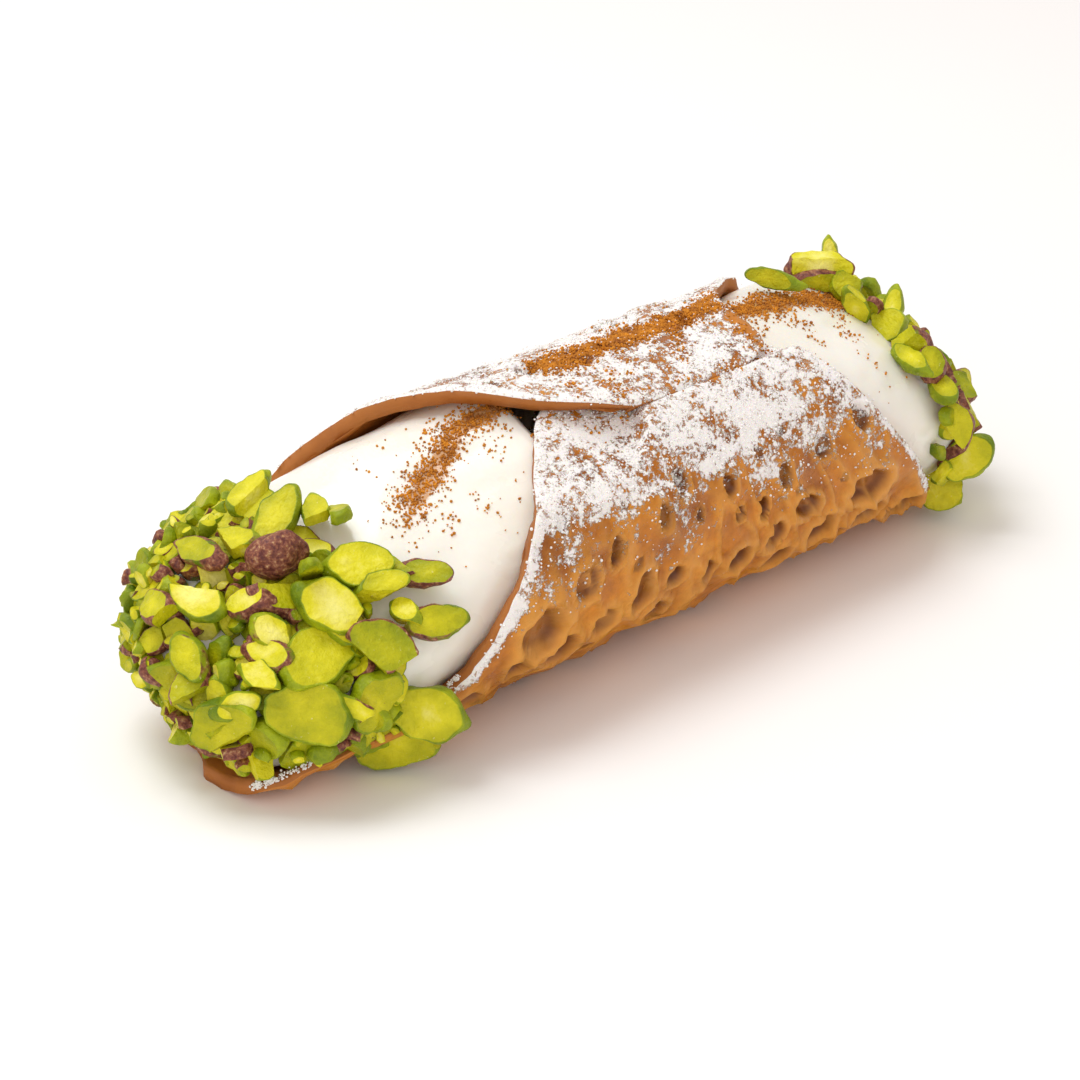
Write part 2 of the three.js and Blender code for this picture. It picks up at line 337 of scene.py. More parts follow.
def halfLength(s, side):
    a = abs(s)
    t = math.hypot(a, dough["cornerRound"]) - dough["cornerRound"]
    plain = dough["length"] - dough["slope"] * t + dough["bow"] * t * t
    if side < 0 and 0 < s < dough["tongueHalf"]:
        tongue = dough["tongueLength"] * (1 - (a / dough["tongueHalf"]) ** 6) ** (1 / 6)
        plain = max(plain, mix(plain, tongue, smoothStep(s, 1, 9)))
    width = dough["frontHalf"] if s > 0 else dough["backHalf"]
    power = dough["frontBlunt"] if s > 0 else dough["backNearBlunt"] if side < 0 else dough["backFarBlunt"]
    if side > 0 and s < 0:
        plain += 2 * smoothStep(a, 66, 73) - 6.3 * smoothStep(a, 43, 56) * (1 - smoothStep(a, 58, 73))
    ragged = 0.5 * wobble(s, 9 * side, 3, 5.0) + 0.25 * wobble(s, 9 * side, 7, 1.8)
    return (plain + ragged) * math.sqrt(max(1 - min(a / width, 1) ** power, 0))


def layerOffset(x, s):
    # the front layer dips under the back one: they are fused but for the near lip, which stands off
    if s > 0:
        fused = smoothStep(x - roll["seamX"], -11, -5)
        start, end = mix(dough["dipFrom"], 62.9, fused), mix(dough["dipTo"], 64.6, fused)
        return -smoothStep(s, start, end) * (roll["wall"] + dough["layerGap"])
    reach = math.exp(-((x - roll["seamX"] - dough["lipX"]) / dough["lipReach"]) ** 2)
    return dough["lipLift"] * reach * smoothStep(-s, 62, 72)


def sugarAt(x, s, edge):
    # how thick the icing sugar lies: heavy on top, thin down the front, and along the near rim
    degrees = abs(math.degrees(s / roll["radius"]) - 22)
    degrees = min(degrees, 360 - degrees)
    drift = 5 * wobble(x, s, 2, 9.0, 3)
    limit = 113 + 0.45 * max(x - 22, 0) + drift
    top = smoothStep(degrees, limit - 9, limit + 5) * (0.80 + 0.28 * wobble(x, s, 6, 5.0, 4))
    veil = (0.56 + 0.4 * wobble(x, s, 2, 8.0, 3)) * smoothStep(degrees, 66, 102)
    nearRim = 0.95 * (1 - smoothStep(edge, 1.2, 4.5)) * smoothStep(-x, -14, 4) * smoothStep(degrees, 48, 66)
    farRim = 0.8 * (1 - smoothStep(edge, 0.8, 2.6)) * smoothStep(x, 30, 40) * smoothStep(degrees, 48, 60)
    if s < 0:
        bar = smoothStep(x, 24, 27) * (1 - smoothStep(edge, 1.6, 2.6)) * smoothStep(-s, 60, 66)
        top *= 1 - bar
    return min(max(top, veil, nearRim, farRim), 1.0)


def cinnamonAt(x, y, even=0.55):
    # one stripe of cinnamon down the very top, broken into patches
    drift = 1.2 * wobble(x, 0, 0, 9.0, 8) - 0.45 * max(-x - 19, 0)
    stripe = math.exp(-((y - drift) / (2.4 + 0.9 * wobble(x, 0, 2, 4.0, 5))) ** 2)
    ends = smoothStep(x, -37, -29) * (1 - smoothStep(x, 63, 68))
    stray = 0.3 * smoothStep(wobble(x, y, 9, 2.6, 6), 0.22, 0.34) * math.exp(-((y + 4) / 8) ** 2)
    return ends * max(stripe * smoothStep(even + wobble(x, y, 4, 6.0, 2), 0.05, 0.55), stray)


def makeDough():
    bm = bmesh.new()
    bmesh.ops.create_grid(bm, x_segments=dough["roundCells"], y_segments=dough["alongCells"], size=1.0)
    layers = {name: bm.verts.layers.float.new(name)
              for name in ("crater", "rib", "edge", "sugar", "cinnamon", "height")}
    for vert in bm.verts:
        u = math.sin(vert.co.x * 1.3) / math.sin(1.3) * dough["lastShare"]
        v = (vert.co.y + 1) / 2
        s = u * (dough["frontHalf"] if u > 0 else dough["backHalf"])
        near, far = halfLength(s, -1), halfLength(s, 1)
        x = roll["seamX"] + mix(-near, far, v)
        edge = min(min(v, 1 - v) * (near + far), (1 - abs(u) / dough["lastShare"]) * 74 + 0.001)
        height, inside, rib = blisterAt(x, s)
        lapped = smoothStep(s, 50, 54) if s > 0 else 0.0  # hidden under the other flap
        seamEase = 1 - 0.7 * smoothStep(-s, 58, 66)
        resting = smoothStep(abs(s - roll["turn"] * roll["radius"]), 4, 11)
        rough = (0.75 * wobble(x, s, 0, 9.0) + 0.32 * wobble(x, s, 5, 3.1) + 0.14 * wobble(x, s, 8, 1.1))
        lower = 1 - smoothStep(abs(s - 30), 12, 24)  # ridges run between the lower bubbles
        fold = max(0.0, 1 - 4.5 * abs(wobble(x + 0.35 * s, 0.38 * s, 11, 4.6)))
        rough += 0.75 * lower * fold
        keep = (1 - lapped) * seamEase * (0.25 + 0.75 * resting)
        soften = smoothStep(edge, 0.0, 2.4)
        relief = keep * (rough * (0.45 + 0.55 * soften) + height * soften) - 0.3 * (1 - smoothStep(edge, 0, 0.9))
        r = radiusAt(x) + relief + layerOffset(x, s)
        angle = s / roll["radius"]
        vert.co = place(x, -r * math.sin(angle), -r * math.cos(angle))
        vert[layers["crater"]] = inside * keep * soften
        vert[layers["rib"]] = max(rib, 0.8 * lower * fold) * keep * soften
        vert[layers["edge"]] = smoothStep(edge, 0.3, 2.2)
        vert[layers["sugar"]] = sugarAt(x, s, edge)
        vert[layers["cinnamon"]] = cinnamonAt(x, vert.co.y / mm, 0.7) if vert.co.z > 0.03 and x > -4 else 0.0
        vert[layers["height"]] = 0.5 + 0.4 * (rough + height)
    bm.normal_update()
    probe = max(bm.faces, key=lambda f: f.calc_center_median().z)
    if probe.normal.z < 0:
        bmesh.ops.reverse_faces(bm, faces=bm.faces)
        bm.normal_update()
    return bm


def makeDoughMaterial(name, sugared):
    material, tree, shader = newMaterial(name)
    coords = objectCoords(tree)
    patch, speck = mottle(tree, coords, 95.0, 620.0)
    crater, rib = attributeNode(tree, "crater"), attributeNode(tree, "rib")
    edge, height = attributeNode(tree, "edge"), attributeNode(tree, "height")
    sugar, cinnamon = attributeNode(tree, "sugar"), attributeNode(tree, "cinnamon")
    base = ramp(tree, patch, [(0.3, (0.30, 0.08, 0.005)), (0.45, (0.50, 0.165, 0.010)),
                              (0.57, (0.66, 0.235, 0.012)), (0.72, (0.80, 0.36, 0.045))])
    fine = ramp(tree, speck, [(0.3, (0.72, 0.66, 0.6)), (0.62, (1.0, 1.0, 1.0))])
    base = mixColour(tree, 0.7, base, fine, "MULTIPLY")
    # pits are paler and matt inside, with painted shade: a dark line where they turn under the rim
    pale = mixColour(tree, maths(tree, "MULTIPLY", crater, 0.6), base, (0.50, 0.215, 0.05))
    turn = maths(tree, "MULTIPLY", crater, maths(tree, "SUBTRACT", 1.0, crater))
    dark = mixColour(tree, maths(tree, "MULTIPLY", turn, 3.4, clamp=True), pale, (0.15, 0.035, 0.003))
    # painted highlight: raised bubble rims and ridges are mixed towards a lighter golden tone, as where they catch the
    # light
    ribHighlight = mixColour(tree, maths(tree, "MULTIPLY", rib, 0.75), dark, (0.74, 0.35, 0.06))
    rimTone = mixColour(tree, maths(tree, "SUBTRACT", 1.0, edge), ribHighlight, (0.52, 0.19, 0.03))
    # painted shade: the lower parts of the crust, in hollows and pits, are darkened
    low = ramp(tree, height, [(0.15, (0.55, 0.45, 0.38)), (0.5, (1, 1, 1))])
    crust = mixColour(tree, 0.85, rimTone, low, "MULTIPLY")
    if not sugared:
        # darker brown on the inside and the cut edge: painted shade inside the tube, with the cut edge's own browner
        # tone
        tree.links.new(mixColour(tree, 0.55, crust, (0.36, 0.10, 0.01)), shader.inputs["Base Color"])
        tree.links.new(mapRange(tree, patch, 0.35, 0.7, 0.5, 0.7), shader.inputs["Roughness"])
        tree.links.new(bump(tree, speck, 0.4, 0.0004), shader.inputs["Normal"])
        return material
    # icing sugar settles in flecks, and solid where it lies thick
    fleck = noiseNode(tree, coords, 1500.0, 5.0, 0.7)
    drift = noiseNode(tree, coords, 380.0, 5.0, 0.68)
    grain = maths(tree, "ADD", maths(tree, "MULTIPLY", fleck, 0.45), maths(tree, "MULTIPLY", drift, 0.55))
    cover = maths(tree, "ADD", grain, maths(tree, "MULTIPLY", sugar, 0.285))
    powder = mapRange(tree, cover, 0.655, 0.73)
    coated = mixColour(tree, powder, crust, (0.93, 0.9, 0.87))
    spice = maths(tree, "MULTIPLY", mapRange(tree, maths(tree, "ADD", drift, cinnamon), 0.82, 1.0), 0.95)
    coated = mixColour(tree, spice, coated, ramp(tree, drift, [(0.35, (0.22, 0.055, 0.002)), (0.65, (0.52, 0.18, 0.008))]))
    tree.links.new(coated, shader.inputs["Base Color"])
    gloss = mapRange(tree, patch, 0.35, 0.7, 0.26, 0.48)
    matt = maths(tree, "ADD", gloss, maths(tree, "MULTIPLY", powder, 0.45), clamp=True)
    tree.links.new(matt, shader.inputs["Roughness"])
    shader.inputs["IOR"].default_value = 1.46
    shader.inputs["Specular IOR Level"].default_value = 0.4
    shader.inputs["Subsurface Weight"].default_value = 0.1
    shader.inputs["Subsurface Radius"].default_value = (1.0, 0.35, 0.05)
    shader.inputs["Subsurface Scale"].default_value = 0.0012
    bubbles = addNode(tree, "ShaderNodeTexVoronoi", feature="SMOOTH_F1")
    bubbles.inputs["Scale"].default_value = 520.0
    tree.links.new(coords, bubbles.inputs["Vector"])
    fineBump = bump(tree, bubbles.outputs["Distance"], 0.35, 0.0005)
    grainBump = bump(tree, maths(tree, "MULTIPLY", speck, 1.0), 0.4, 0.0004, fineBump)
    sugarBump = bump(tree, maths(tree, "MULTIPLY", powder, grain), 0.8, 0.0005, grainBump)
    tree.links.new(sugarBump, shader.inputs["Normal"])
    return material


doughMesh = makeDough()

# sugar and cinnamon are sprinkled from the dough's own outer surface
doughSpots = []
for face in doughMesh.faces:
    vert = face.verts[0]
    layer = doughMesh.verts.layers.float
    doughSpots.append((face.calc_center_median(), face.normal.copy(), face.calc_area(),
                       vert[layer["sugar"]], vert[layer["cinnamon"]]))
doughPiece = finishPiece(doughMesh, "friedShell", makeDoughMaterial("friedCrust", True))
doughPiece.data.materials.append(makeDoughMaterial("friedCrustInside", False))
wallModifier = doughPiece.modifiers.new("wall", "SOLIDIFY")
wallModifier.thickness = roll["wall"] * mm
wallModifier.offset = -1.0
wallModifier.material_offset = 1  # no sugar on the cut edge and the inside
wallModifier.material_offset_rim = 1
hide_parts("fried_shell")
print("dough ready")

# ---- the cream ----
fill = {
    "clearance": 0.25, "crown": 18.0, "lappedCrown": 9.0, "lapFrom": 22.6, "lapTo": 18.5,
    "squareness": 2.8, "nose": 8,
    "nearStart": -10, "nearTip": -67, "nearHeight": -8, "nearFall": 0.9, "nearEase": 0.55,
    "farStart": 33, "farTip": 79, "farHeight": -12, "farFall": 1.7, "farEase": 0.4,
    "roundCells": 200, "alongCells": 190,
}


def signedPower(value, power):
    return math.copysign(abs(value) ** power, value)


def creamPoint(x, turn, grow=0.0):
    # the cream at x and turn (radians, 0 at the seam, positive to the front)
    inside = radiusAt(x) - roll["wall"] - fill["clearance"]
    crown = mix(fill["lappedCrown"], fill["crown"],
                smoothStep(abs(x - roll["seamX"]), fill["lapTo"], fill["lapFrom"]))
    end = "near" if x < fill["nearStart"] else "far" if x > fill["farStart"] else None
    top, under, half = crown, -inside, inside
    if end:
        side = -1 if end == "near" else 1
        tip = fill[end + "Tip"] + side * grow
        low = fill[end + "Height"]
        q = min(max((x - fill[end + "Start"]) / (tip - fill[end + "Start"]), 0.0), 1.0)
        rise = (1 - q ** fill[end + "Fall"]) ** fill[end + "Ease"]
        top = low + (crown - low + grow) * rise
        under = low - (inside + low) * math.sqrt(1 - q ** fill["nose"])
        half = (inside + grow) * (1 - q ** fill["nose"]) ** (1 / 2.2)
    power = 2 / fill["squareness"]
    across = -half * signedPower(math.sin(turn), power)
    up = (top + under) / 2 + (top - under) / 2 * signedPower(math.cos(turn), power)
    shrink = min(1.0, (inside + grow) / max(math.hypot(across, up), 1e-6))
    return place(x, across * shrink, up * shrink)


def creamNormal(x, turn, grow=0.0):
    along = creamPoint(x + 0.6, turn, grow) - creamPoint(x - 0.6, turn, grow)
    around = creamPoint(x, turn + 0.04, grow) - creamPoint(x, turn - 0.04, grow)
    return around.cross(along).normalized(), along.normalized()


def makeCream():
    bm = bmesh.new()
    bmesh.ops.create_uvsphere(bm, u_segments=fill["roundCells"], v_segments=fill["alongCells"], radius=1.0)
    spice = bm.verts.layers.float.new("cinnamon")
    for vert in bm.verts:
        share = math.acos(min(max(vert.co.z, -1), 1)) / math.pi  # 0 at one pole, 1 at the other
        crowd = 0.5 - 0.5 * math.cos(math.pi * share)
        x = mix(fill["nearTip"], fill["farTip"], mix(share, crowd, 0.75))
        turn = math.atan2(vert.co.y, vert.co.x)
        if share < 1e-5 or share > 1 - 1e-5:
            end = "near" if share < 0.5 else "far"
            vert.co = place(fill[end + "Tip"], 0, fill[end + "Height"])
            continue
        point = creamPoint(x, turn)
        normal, _ = creamNormal(x, turn)
        px, py, pz = point / mm
        smear = (0.55 * wobble(px, py * 0.6, pz, 13.0, 4) + 0.3 * wobble(px * 0.5, py, pz, 4.5, 6)
                 + 0.1 * wobble(px, py, pz, 2.0, 9))
        outward = smoothStep(-(px + 14), 0, 8) if px < 0 else smoothStep(px - 28, 0, 8)
        vert.co = point + normal * (smear * mm * outward)
        vert[spice] = cinnamonAt(x, vert.co.y / mm, 1.0) * smoothStep(vert.co.z / mm, 22, 28)
    if bm.calc_volume(signed=True) < 0:
        bmesh.ops.reverse_faces(bm, faces=bm.faces)
    bm.normal_update()
    return bm


def makeCreamMaterial():
    material, tree, shader = newMaterial("ricottaCream")
    coords = objectCoords(tree)
    patch, speck = mottle(tree, coords, 45.0, 420.0)
    cinnamon = attributeNode(tree, "cinnamon")
    tone = ramp(tree, patch, [(0.3, (0.86, 0.82, 0.71)), (0.7, (0.95, 0.93, 0.86))])
    fleck = noiseNode(tree, coords, 1500.0, 5.0, 0.7)
    spice = maths(tree, "MULTIPLY", mapRange(tree, maths(tree, "ADD", fleck, cinnamon), 1.0, 1.25), 0.85)
    tree.links.new(mixColour(tree, spice, tone, (0.56, 0.22, 0.015)), shader.inputs["Base Color"])
    tree.links.new(mapRange(tree, patch, 0.3, 0.75, 0.2, 0.42), shader.inputs["Roughness"])
    shader.inputs["IOR"].default_value = 1.45
    shader.inputs["Subsurface Weight"].default_value = 0.35
    shader.inputs["Subsurface Radius"].default_value = (1.0, 0.75, 0.5)
    shader.inputs["Subsurface Scale"].default_value = 0.003
    shader.inputs["Coat Weight"].default_value = 0.5
    shader.inputs["Coat Roughness"].default_value = 0.12
    smear = addNode(tree, "ShaderNodeMapping")
    smear.inputs["Scale"].default_value = (0.4, 1.0, 1.0)
    tree.links.new(coords, smear.inputs["Vector"])
    strokes = noiseNode(tree, smear.outputs["Vector"], 160.0, 4.0, 0.5)
    softBump = bump(tree, strokes, 0.25, 0.0007)
    tree.links.new(bump(tree, speck, 0.15, 0.0002, softBump), shader.inputs["Normal"])
    return material


creamMesh = makeCream()
creamSpots = [(f.calc_center_median(), f.normal.copy(), f.calc_area(), f.verts[0][creamMesh.verts.layers.float["cinnamon"]])
              for f in creamMesh.faces]
creamPiece = finishPiece(creamMesh, "ricottaCream", makeCreamMaterial())
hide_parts("ricotta_cream")
print("cream ready")

# ---- pistachio ----
nuts = {
    "nearTries": 1500, "nearSpacing": 2.7, "nearSizes": (4.5, 8.5), "nearLifts": (0.5, 1.6),
    "bitTries": 1100, "bitSpacing": 2.0, "bitSizes": (1.6, 4.2), "bitLifts": (0.8, 2.6),
    "farTries": 500, "farSpacing": 2.8, "farSizes": (4.0, 8.0), "farLifts": (0.6, 2.2),
    "nearFrom": -46.0, "farFrom": 62.5,
}


def makeNut(length, width, thickness, seed, slab=True, bend=0.0, rings=3, crossCuts=1):
    # one piece of kernel: an almond shape, sliced and then chopped across, in millimetres
    rng = random.Random(seed)
    bm = bmesh.new()
    bmesh.ops.create_icosphere(bm, subdivisions=rings, radius=1.0)
    deep = max(width * 0.5, thickness * 0.9)
    core = bm.verts.layers.float.new("core")
    for vert in bm.verts:
        x, y, z = vert.co
        pinch = 1 - 0.28 * max(x, 0) ** 2
        vert.co = Vector((x * length / 2, y * width / 2 * pinch, z * deep * pinch))
        vert.co *= 1 + 0.2 * wobble(*vert.co, 3.2, seed)
    planes = []
    for side in (1, -1) if slab else (1,):
        normal = Vector((math.sin(rng.uniform(-0.14, 0.14)), rng.uniform(-0.12, 0.12), side)).normalized()
        planes.append((Vector((0, 0, side * thickness * (0.5 if slab else 0.35))), normal))
    for _ in range(crossCuts):
        way, reach = rng.uniform(0, 6.28), rng.uniform(0.4, 0.8)
        normal = Vector((math.cos(way), math.sin(way), rng.uniform(-0.4, 0.4))).normalized()
        planes.append((Vector((math.cos(way) * length, math.sin(way) * width, 0)) * (reach / 2), normal))
    for point, normal in planes:
        bmesh.ops.bisect_plane(bm, geom=bm.verts[:] + bm.edges[:] + bm.faces[:], dist=1e-5,
                               plane_co=point, plane_no=normal, clear_outer=True)
        rim = [e for e in bm.edges if e.is_boundary]
        if not rim:
            continue
        for edge in rim:
            edge.smooth = False
        made = bmesh.ops.contextual_create(bm, geom=rim)["faces"]
        for vert in bmesh.ops.poke(bm, faces=made)["verts"]:
            vert[core] = 1.0  # the middle of a cut face, the skin being 0
    for vert in bm.verts:
        vert.co.z += bend * (vert.co.x / length * 2) ** 2 * thickness
        vert.co += Vector((wobble(*vert.co, 1.3, seed + 3), wobble(*vert.co, 1.3, seed + 7),
                           wobble(*vert.co, 1.1, seed + 9))) * 0.22
    return bm


def addNut(target, source, matrix, tone, skinTone):
    # joins one piece into a larger bmesh, with its own tones
    mesh = bpy.data.meshes.new("oneNut")
    source.transform(matrix)
    source.to_mesh(mesh)
    source.free()
    for name, value in (("tone", tone), ("skinTone", skinTone)):
        data = mesh.attributes.new(name, "FLOAT", "POINT")
        data.data.foreach_set("value", [value] * len(mesh.vertices))
    target.from_mesh(mesh)
    bpy.data.meshes.remove(mesh)


def newNutMesh():
    bm = bmesh.new()
    for name in ("core", "tone", "skinTone"):
        bm.verts.layers.float.new(name)
    return bm


def seatMatrix(at, normal, along, spin, tilt):
    # spun round the surface normal, then tipped up
    across = normal.cross(along).normalized()
    seat = Matrix((across.cross(normal), across, normal)).transposed().to_4x4()
    local = Matrix.Rotation(math.radians(spin), 4, "Z") @ Matrix.Rotation(math.radians(tilt), 4, "Y")
    return Matrix.Translation(at) @ seat @ local @ Matrix.Scale(mm, 4)


def nutMatrix(x, turn, spin, tilt, lift):
    normal, along = creamNormal(x, math.radians(turn))
    return seatMatrix(creamPoint(x, math.radians(turn)) + normal * (lift * mm), normal, along, spin, tilt)


def openSpots(side, start, inner=1.2):
    # the cream's faces that lie open at one mouth, clear of the dough
    found = []
    c, s = math.cos(roll["turn"]), math.sin(roll["turn"])
    for centre, normal, area, _ in creamSpots:
        x = centre.x / mm - roll["baseX"]
        if (x - start) * side < 1.5 * wobble(centre.y / mm, centre.z / mm, 3, 7.0, 1):
            continue
        y, z = centre.y / mm - roll["baseY"], centre.z / mm - radiusAt(x) + roll["settle"]
        across, up = y * c + z * s, z * c - y * s
        turned = (math.pi - abs(math.atan2(-across, up))) * roll["radius"]
        reach = halfLength(math.copysign(turned, -across), side)
        if reach < abs(x - roll["seamX"]) - inner or math.hypot(across, up) < radiusAt(x) - 5.5:
            found.append((centre, normal, area))
    return found


def scatterNuts(target, spots, kind, seed, rings):
    # seeded pieces over the open cream, none too close to another
    rng = random.Random(seed)
    placed, low, high = [], *nuts[kind + "Sizes"]
    for centre, normal, _ in rng.choices(spots, weights=[s[2] for s in spots], k=nuts[kind + "Tries"]):
        if any((centre - other).length < nuts[kind + "Spacing"] * mm for other in placed):
            continue
        placed.append(centre)
        length = rng.uniform(low, high)
        piece = makeNut(length, length * rng.uniform(0.5, 0.85), rng.uniform(1.2, 2.4), rng.randrange(9999),
                        slab=rng.random() < 0.8, rings=rings, crossCuts=rng.choice((1, 1, 2)))
        at = centre + normal * (rng.uniform(*nuts[kind + "Lifts"]) * mm)
        along = Vector((rng.uniform(-1, 1), rng.uniform(-1, 1), rng.uniform(-1, 1)))
        along = (along - normal * along.dot(normal)).normalized()
        addNut(target, piece, seatMatrix(at, normal, along, 0, rng.gauss(0, 30)),
               rng.uniform(0.1, 1.0), rng.choice((0.05, 0.1, 0.2, 0.3, 0.65, 1.0)))
    return len(placed)


# the slices that stand out: x, degrees from the seam, spin, tip, length, width, thickness,
# lift off the cream, tone (0 dark green, 1 pale yellow) and how brown the skin is
mainSlices = [
    (-47, -34, 20, 6, 9.5, 4.6, 2.2, 3.0, 0.85, 0.1), (-47, -14, 25, -8, 10.5, 5.6, 2.4, 3.4, 0.6, 0.2),
    (-43, -8, 60, 25, 9.0, 4.0, 1.8, 3.2, 0.55, 0.1), (-41, -4, 75, 40, 7.5, 3.8, 1.4, 3.4, 0.3, 0.1),
    (-57, -22, 100, 12, 10.5, 4.4, 2.2, 3.6, 0.55, 0.7), (-53, -14, 110, 18, 9.5, 4.8, 2.4, 3.6, 0.7, 0.5),
    (-61, -8, 95, -4, 10.5, 5.6, 2.2, 3.8, 0.95, 0.3), (-44, 10, 150, -6, 9.2, 7.2, 2.2, 4.0, 0.75, 0.35),
    (-43, 21, 160, 8, 8.0, 5.0, 3.0, 3.4, 0.65, 0.1), (-50, 17, 118, -10, 11.0, 7.0, 2.2, 4.4, 0.9, 0.2),
    (-54, 31, 10, 6, 13.0, 8.2, 2.4, 2.6, 0.6, 0.3), (-47, 42, 130, -4, 10.5, 7.8, 2.6, 3.4, 0.25, 0.9),
    (-39, 44, 155, 8, 11.0, 5.0, 3.0, 2.8, 0.45, 0.55), (-37, 24, 140, 18, 9.5, 4.0, 2.4, 2.6, 0.3, 0.7),
    (-40, 15, 145, 10, 9.0, 3.6, 1.2, 2.8, 0.3, 1.0), (-50, 64, 25, -2, 9.5, 7.0, 2.4, 2.4, 0.4, 0.4),
    (-58, 56, 150, 4, 12.5, 9.0, 2.4, 2.8, 0.45, 0.3), (-53, 62, 130, 24, 10.5, 3.0, 1.6, 4.2, 0.6, 0.5),
    (-65, 66, 40, 0, 9.5, 8.2, 2.0, 3.0, 0.4, 0.2), (-57, 2, 140, 20, 8.0, 4.5, 2.8, 3.8, 0.9, 0.7),
    (-54, 4, 140, -30, 9.0, 5.0, 2.6, 3.4, 0.5, 0.8), (-57, 14, 115, -14, 8.5, 4.6, 2.4, 3.6, 0.95, 0.4),
    (-59, 22, 130, 12, 8.0, 4.4, 2.4, 3.4, 0.8, 0.6), (-61, 28, 120, 16, 8.5, 4.0, 2.4, 3.6, 0.9, 0.3),
    (-50, 26, 100, -20, 7.0, 4.4, 1.8, 3.4, 0.85, 0.2), (-64, 46, 20, 8, 8.0, 3.6, 1.8, 3.4, 0.95, 0.2),
    (-64, -24, 60, 22, 8.0, 5.0, 2.4, 3.6, 0.5, 0.6), (-65, 4, 90, 10, 8.5, 5.0, 2.4, 3.4, 0.5, 0.5),
    (-49, 4, 62, 70, 13.5, 3.4, 1.3, 4.6, 0.25, 0.1), (-42, 34, 100, 30, 5.5, 3.5, 2.4, 3.0, 0.8, 0.1),
    (-66, 24, 70, 20, 7.5, 5.0, 2.4, 3.2, 0.45, 0.8), (-47, 100, 165, 6, 8.5, 4.2, 2.0, 2.4, 0.85, 0.2),
]


# two broad ones that hang over the near lip: x, degrees from the seam, lean in the picture
# plane, lean back, length, width, thickness, lift, tone, skin
lipSlices = [
    (-42, 83, -12, 12, 12.0, 7.8, 2.2, 3.6, 0.62, 0.1), (-44, 97, 12, 25, 13.0, 7.0, 2.2, 3.8, 0.5, 0.2),
]

# and those that stand up round the far mouth: x, degrees from the seam, lean in the picture
# plane, lean back, length, width, thickness, lift, tone, skin
farSlices = [
    (47, -22, -12, 10, 9.5, 3.2, 1.6, 2.2, 0.6, 0.0), (58, -26, 0, 12, 11.0, 6.4, 2.2, 3.0, 0.95, 0.75),
    (58, -20, -8, 30, 9.5, 3.4, 1.6, 1.6, 0.3, 1.0), (60, -12, 30, -10, 6.0, 5.0, 2.4, 2.8, 0.4, 0.4),
    (64, -36, 95, 0, 5.5, 3.0, 1.8, 5.0, 0.9, 0.1), (58, -3, -60, 35, 7.5, 3.6, 1.8, 2.0, 0.75, 0.1),
    (64, 0, 80, -20, 7.5, 3.6, 2.0, 3.4, 0.7, 0.1), (61, 15, -30, 40, 7.5, 5.4, 2.0, 2.6, 0.5, 0.6),
    (62, 28, -70, 0, 6.0, 4.8, 2.0, 2.8, 0.4, 1.0), (59, 24, -50, -45, 9.0, 3.6, 2.0, 1.8, 0.6, 0.1),
    (62, 43, -60, -40, 6.0, 4.0, 1.8, 2.6, 0.6, 0.3), (64, 63, -80, 0, 8.0, 5.6, 2.0, 3.0, 0.55, 0.6),
    (68, 82, 35, 0, 10.0, 6.6, 2.2, 3.2, 0.75, 0.1), (68, 98, -20, 10, 9.0, 7.4, 2.2, 2.6, 0.7, 0.3),
]


def makeNutMaterial():
    material, tree, shader = newMaterial("pistachioFlesh")
    coords = objectCoords(tree)
    patch, speck = mottle(tree, coords, 210.0, 1500.0)
    core, tone = attributeNode(tree, "core"), attributeNode(tree, "tone")
    skinTone = attributeNode(tree, "skinTone")
    mixed = maths(tree, "ADD", maths(tree, "MULTIPLY", tone, 0.45), maths(tree, "MULTIPLY", patch, 0.6))
    mixed = maths(tree, "ADD", mixed, maths(tree, "MULTIPLY", core, 0.16))
    flesh = ramp(tree, mixed, [(0.25, (0.12, 0.17, 0.001)), (0.42, (0.31, 0.34, 0.001)),
                               (0.58, (0.50, 0.48, 0.002)), (0.74, (0.72, 0.66, 0.012)),
                               (0.92, (0.92, 0.85, 0.22))])
    green = ramp(tree, patch, [(0.35, (0.12, 0.19, 0.001)), (0.65, (0.38, 0.44, 0.003))])
    brown = ramp(tree, speck, [(0.36, (0.11, 0.025, 0.022)), (0.54, (0.26, 0.085, 0.05)),
                               (0.7, (0.5, 0.28, 0.14))])
    peel = mapRange(tree, maths(tree, "ADD", skinTone, maths(tree, "SUBTRACT", patch, 0.5)), 0.5, 0.62)
    outside = mixColour(tree, peel, green, brown)
    rimmed = mixColour(tree, mapRange(tree, core, 0.02, 0.06), outside, green)
    colour = mixColour(tree, mapRange(tree, core, 0.02, 0.07), rimmed, flesh)
    dusty = mixColour(tree, mapRange(tree, speck, 0.66, 0.78, 0.0, 0.5), colour, (0.85, 0.8, 0.42))
    tree.links.new(dusty, shader.inputs["Base Color"])
    tree.links.new(mapRange(tree, speck, 0.3, 0.7, 0.36, 0.6), shader.inputs["Roughness"])
    shader.inputs["Specular IOR Level"].default_value = 0.3
    shader.inputs["Subsurface Weight"].default_value = 0.2
    shader.inputs["Subsurface Radius"].default_value = (1.0, 0.95, 0.1)
    shader.inputs["Subsurface Scale"].default_value = 0.001
    tree.links.new(bump(tree, speck, 0.55, 0.0004, bump(tree, patch, 0.8, 0.0012)), shader.inputs["Normal"])
    return material


def addFacing(target, rows, seed):
    # slices that show their flat face to the front left
    sideways, backwards = Vector((0.743, -0.669, 0.0)), Vector((-0.59, -0.656, 0.469))
    for index, (x, turn, lean, back, length, width, thick, lift, tone, skinTone) in enumerate(rows):
        normal, _ = creamNormal(x, math.radians(turn))
        at = creamPoint(x, math.radians(turn)) + normal * (lift * mm)
        facing = Matrix.Rotation(math.radians(back), 3, sideways) @ backwards
        piece = makeNut(length, width, thick, seed + index, bend=0.2, rings=4, crossCuts=index % 2)
        addNut(target, piece, seatMatrix(at, facing, sideways, lean, 0), tone, skinTone)


